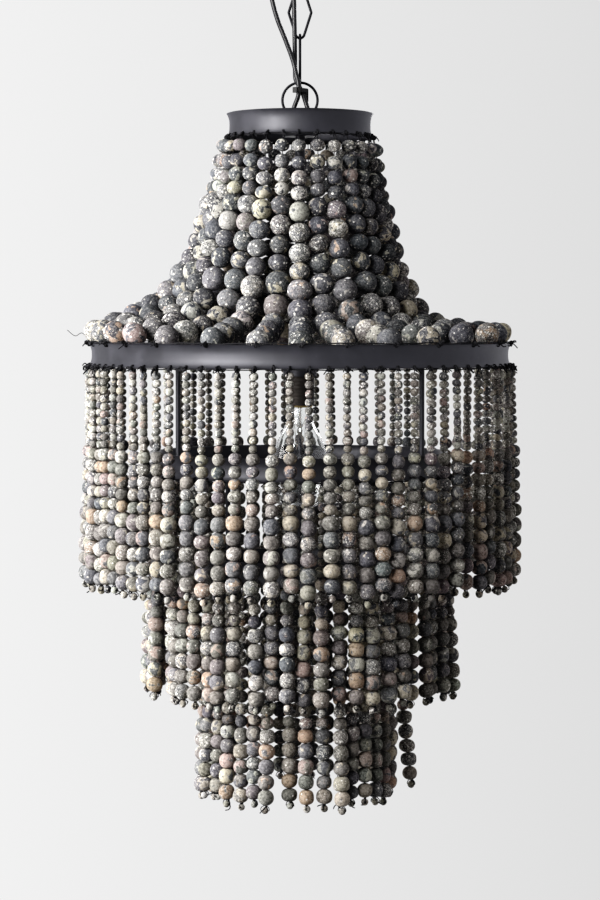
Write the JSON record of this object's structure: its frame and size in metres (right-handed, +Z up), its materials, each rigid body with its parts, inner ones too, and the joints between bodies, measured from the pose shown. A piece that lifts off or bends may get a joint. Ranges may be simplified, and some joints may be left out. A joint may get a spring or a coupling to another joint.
{
  "type": "beaded chandelier",
  "caption": "Pendant light with a bell-shaped swag of bead strands above three stepped bead fringes, hung from dark metal bands on a short chain.",
  "frame": {"origin": "centre of the mounting strap's top face, on the ceiling", "axes": "+Z up out of the ceiling face, -Y towards the front viewer, +X to that viewer's right"},
  "size_m": [0.4512, 0.4489, 0.8979],
  "materials": {
    "dark_metal": "satin",
    "zinc_steel": "zinc plated",
    "clay_beads": "matte, speckled",
    "black_cord": "satin",
    "black_plastic": "matte",
    "socket_shell": "satin",
    "brass_screw": "bright",
    "clear_glass": "clear",
    "filament_wire": "dull"
  },
  "bodies": {
    "ceiling_mount": {"mounting_strap": "zinc_steel", "ceiling_canopy": "dark_metal", "canopy_nut_front": "dark_metal", "canopy_nut_back": "dark_metal", "cord_gland": "black_plastic", "canopy_loop": "dark_metal", "supply_cord": "black_cord", "earth_cord": "black_cord"},
    "upper_link": {"upper_chain_link": "dark_metal"},
    "lower_link": {"lower_chain_link": "dark_metal"},
    "ring": {"hanging_ring": "dark_metal", "cord_tie": "black_plastic"},
    "frame": {"top_spider": "dark_metal", "top_band": "dark_metal", "stem_tube": "dark_metal", "large_spider": "dark_metal", "large_band": "dark_metal", "drop_rod_01": "dark_metal", "drop_rod_02": "dark_metal", "drop_rod_03": "dark_metal", "middle_carrier": "dark_metal", "middle_band": "dark_metal", "lower_drop_rod_01": "dark_metal", "lower_drop_rod_02": "dark_metal", "lower_drop_rod_03": "dark_metal", "small_band": "dark_metal", "socket_cover": "dark_metal", "lamp_socket": "socket_shell", "bead_swag_01": "clay_beads", "bead_swag_02": "clay_beads", "bead_swag_03": "clay_beads", "bead_swag_04": "clay_beads"},
    "bulb": {"bulb_base": "brass_screw", "bulb_glass": "clear_glass", "bulb_filament": "filament_wire"},
    "outer_fringe_01": {"outer_fringe_01": "clay_beads"},
    "outer_fringe_02": {"outer_fringe_02": "clay_beads"},
    "outer_fringe_03": {"outer_fringe_03": "clay_beads"},
    "outer_fringe_04": {"outer_fringe_04": "clay_beads"},
    "outer_fringe_05": {"outer_fringe_05": "clay_beads"},
    "outer_fringe_06": {"outer_fringe_06": "clay_beads"},
    "outer_fringe_07": {"outer_fringe_07": "clay_beads"},
    "outer_fringe_08": {"outer_fringe_08": "clay_beads"},
    "outer_fringe_09": {"outer_fringe_09": "clay_beads"},
    "outer_fringe_10": {"outer_fringe_10": "clay_beads"},
    "outer_fringe_11": {"outer_fringe_11": "clay_beads"},
    "middle_fringe_01": {"middle_fringe_01": "clay_beads"},
    "middle_fringe_02": {"middle_fringe_02": "clay_beads"},
    "middle_fringe_03": {"middle_fringe_03": "clay_beads"},
    "middle_fringe_04": {"middle_fringe_04": "clay_beads"},
    "middle_fringe_05": {"middle_fringe_05": "clay_beads"},
    "middle_fringe_06": {"middle_fringe_06": "clay_beads"},
    "middle_fringe_07": {"middle_fringe_07": "clay_beads"},
    "middle_fringe_08": {"middle_fringe_08": "clay_beads"},
    "inner_fringe_01": {"inner_fringe_01": "clay_beads"},
    "inner_fringe_02": {"inner_fringe_02": "clay_beads"},
    "inner_fringe_03": {"inner_fringe_03": "clay_beads"},
    "inner_fringe_04": {"inner_fringe_04": "clay_beads"},
    "inner_fringe_05": {"inner_fringe_05": "clay_beads"},
    "inner_fringe_06": {"inner_fringe_06": "clay_beads"}
  },
  "joints": [
    {"name": "upper_link_swing", "type": "hinge", "parent": "ceiling_mount", "child": "upper_link", "pos_m": [0, 0, -0.0701], "axis": [0, 1, 0], "range_deg": [-20, 20], "deforming": ["supply_cord", "earth_cord"]},
    {"name": "lower_link_swing", "type": "hinge", "parent": "upper_link", "child": "lower_link", "pos_m": [0, 0, -0.1182], "axis": [1, 0, 0], "range_deg": [-20, 20]},
    {"name": "ring_swing", "type": "hinge", "parent": "lower_link", "child": "ring", "pos_m": [0, 0, -0.1666], "axis": [0, 1, 0], "range_deg": [-20, 20]},
    {"name": "frame_swing", "type": "hinge", "parent": "ring", "child": "frame", "pos_m": [0, 0, -0.199], "axis": [1, 0, 0], "range_deg": [-20, 20]},
    {"name": "bulb_unscrew", "type": "slide", "parent": "frame", "child": "bulb", "axis": [0, 0, -1], "range_m": [0, 0.03]},
    {"name": "outer_fringe_01_swing", "type": "hinge", "parent": "frame", "child": "outer_fringe_01", "pos_m": [0.05983, -0.20375, -0.45145], "axis": [-0.9595, -0.2817, 0], "range_deg": [0, 12]},
    {"name": "outer_fringe_02_swing", "type": "hinge", "parent": "frame", "child": "outer_fringe_02", "pos_m": [0.16094, -0.13946, -0.45145], "axis": [-0.6549, -0.7557, 0], "range_deg": [0, 12]},
    {"name": "outer_fringe_03_swing", "type": "hinge", "parent": "frame", "child": "outer_fringe_03", "pos_m": [0.2102, -0.03022, -0.45145], "axis": [-0.1423, -0.9898, 0], "range_deg": [0, 12]},
    {"name": "outer_fringe_04_swing", "type": "hinge", "parent": "frame", "child": "outer_fringe_04", "pos_m": [0.19371, 0.08847, -0.45145], "axis": [0.4154, -0.9096, 0], "range_deg": [0, 12]},
    {"name": "outer_fringe_05_swing", "type": "hinge", "parent": "frame", "child": "outer_fringe_05", "pos_m": [0.11481, 0.17865, -0.45145], "axis": [0.8413, -0.5406, 0], "range_deg": [0, 12]},
    {"name": "outer_fringe_06_swing", "type": "hinge", "parent": "frame", "child": "outer_fringe_06", "pos_m": [0, 0.21296, -0.45145], "axis": [1, 0, 0], "range_deg": [0, 12]},
    {"name": "outer_fringe_07_swing", "type": "hinge", "parent": "frame", "child": "outer_fringe_07", "pos_m": [-0.11481, 0.17865, -0.45145], "axis": [0.8413, 0.5406, 0], "range_deg": [0, 12]},
    {"name": "outer_fringe_08_swing", "type": "hinge", "parent": "frame", "child": "outer_fringe_08", "pos_m": [-0.19371, 0.08847, -0.45145], "axis": [0.4154, 0.9096, 0], "range_deg": [0, 12]},
    {"name": "outer_fringe_09_swing", "type": "hinge", "parent": "frame", "child": "outer_fringe_09", "pos_m": [-0.2102, -0.03022, -0.45145], "axis": [-0.1423, 0.9898, 0], "range_deg": [0, 12]},
    {"name": "outer_fringe_10_swing", "type": "hinge", "parent": "frame", "child": "outer_fringe_10", "pos_m": [-0.16094, -0.13946, -0.45145], "axis": [-0.6549, 0.7557, 0], "range_deg": [0, 12]},
    {"name": "outer_fringe_11_swing", "type": "hinge", "parent": "frame", "child": "outer_fringe_11", "pos_m": [-0.05983, -0.20375, -0.45145], "axis": [-0.9595, 0.2817, 0], "range_deg": [0, 12]},
    {"name": "middle_fringe_01_swing", "type": "hinge", "parent": "frame", "child": "middle_fringe_01", "pos_m": [0.05621, -0.13571, -0.56275], "axis": [-0.9239, -0.3827, 0], "range_deg": [0, 10]},
    {"name": "middle_fringe_02_swing", "type": "hinge", "parent": "frame", "child": "middle_fringe_02", "pos_m": [0.13625, -0.05643, -0.56275], "axis": [-0.3827, -0.9239, 0], "range_deg": [0, 10]},
    {"name": "middle_fringe_03_swing", "type": "hinge", "parent": "frame", "child": "middle_fringe_03", "pos_m": [0.13571, 0.05621, -0.56275], "axis": [0.3827, -0.9239, 0], "range_deg": [0, 10]},
    {"name": "middle_fringe_04_swing", "type": "hinge", "parent": "frame", "child": "middle_fringe_04", "pos_m": [0.05643, 0.13625, -0.56275], "axis": [0.9239, -0.3827, 0], "range_deg": [0, 10]},
    {"name": "middle_fringe_05_swing", "type": "hinge", "parent": "frame", "child": "middle_fringe_05", "pos_m": [-0.05621, 0.13571, -0.56275], "axis": [0.9239, 0.3827, 0], "range_deg": [0, 10]},
    {"name": "middle_fringe_06_swing", "type": "hinge", "parent": "frame", "child": "middle_fringe_06", "pos_m": [-0.13625, 0.05643, -0.56275], "axis": [0.3827, 0.9239, 0], "range_deg": [0, 10]},
    {"name": "middle_fringe_07_swing", "type": "hinge", "parent": "frame", "child": "middle_fringe_07", "pos_m": [-0.13571, -0.05621, -0.56275], "axis": [-0.3827, 0.9239, 0], "range_deg": [0, 10]},
    {"name": "middle_fringe_08_swing", "type": "hinge", "parent": "frame", "child": "middle_fringe_08", "pos_m": [-0.05643, -0.13625, -0.56275], "axis": [-0.9239, 0.3827, 0], "range_deg": [0, 10]},
    {"name": "inner_fringe_01_swing", "type": "hinge", "parent": "frame", "child": "inner_fringe_01", "pos_m": [0.04533, -0.07852, -0.67025], "axis": [-0.866, -0.5, 0], "range_deg": [0, 8]},
    {"name": "inner_fringe_02_swing", "type": "hinge", "parent": "frame", "child": "inner_fringe_02", "pos_m": [0.09067, 0, -0.67025], "axis": [0, -1, 0], "range_deg": [0, 8]},
    {"name": "inner_fringe_03_swing", "type": "hinge", "parent": "frame", "child": "inner_fringe_03", "pos_m": [0.04533, 0.07852, -0.67025], "axis": [0.866, -0.5, 0], "range_deg": [0, 8]},
    {"name": "inner_fringe_04_swing", "type": "hinge", "parent": "frame", "child": "inner_fringe_04", "pos_m": [-0.04533, 0.07852, -0.67025], "axis": [0.866, 0.5, 0], "range_deg": [0, 8]},
    {"name": "inner_fringe_05_swing", "type": "hinge", "parent": "frame", "child": "inner_fringe_05", "pos_m": [-0.09067, 0, -0.67025], "axis": [0, 1, 0], "range_deg": [0, 8]},
    {"name": "inner_fringe_06_swing", "type": "hinge", "parent": "frame", "child": "inner_fringe_06", "pos_m": [-0.04533, -0.07852, -0.67025], "axis": [-0.866, 0.5, 0], "range_deg": [0, 8]}
  ]
}
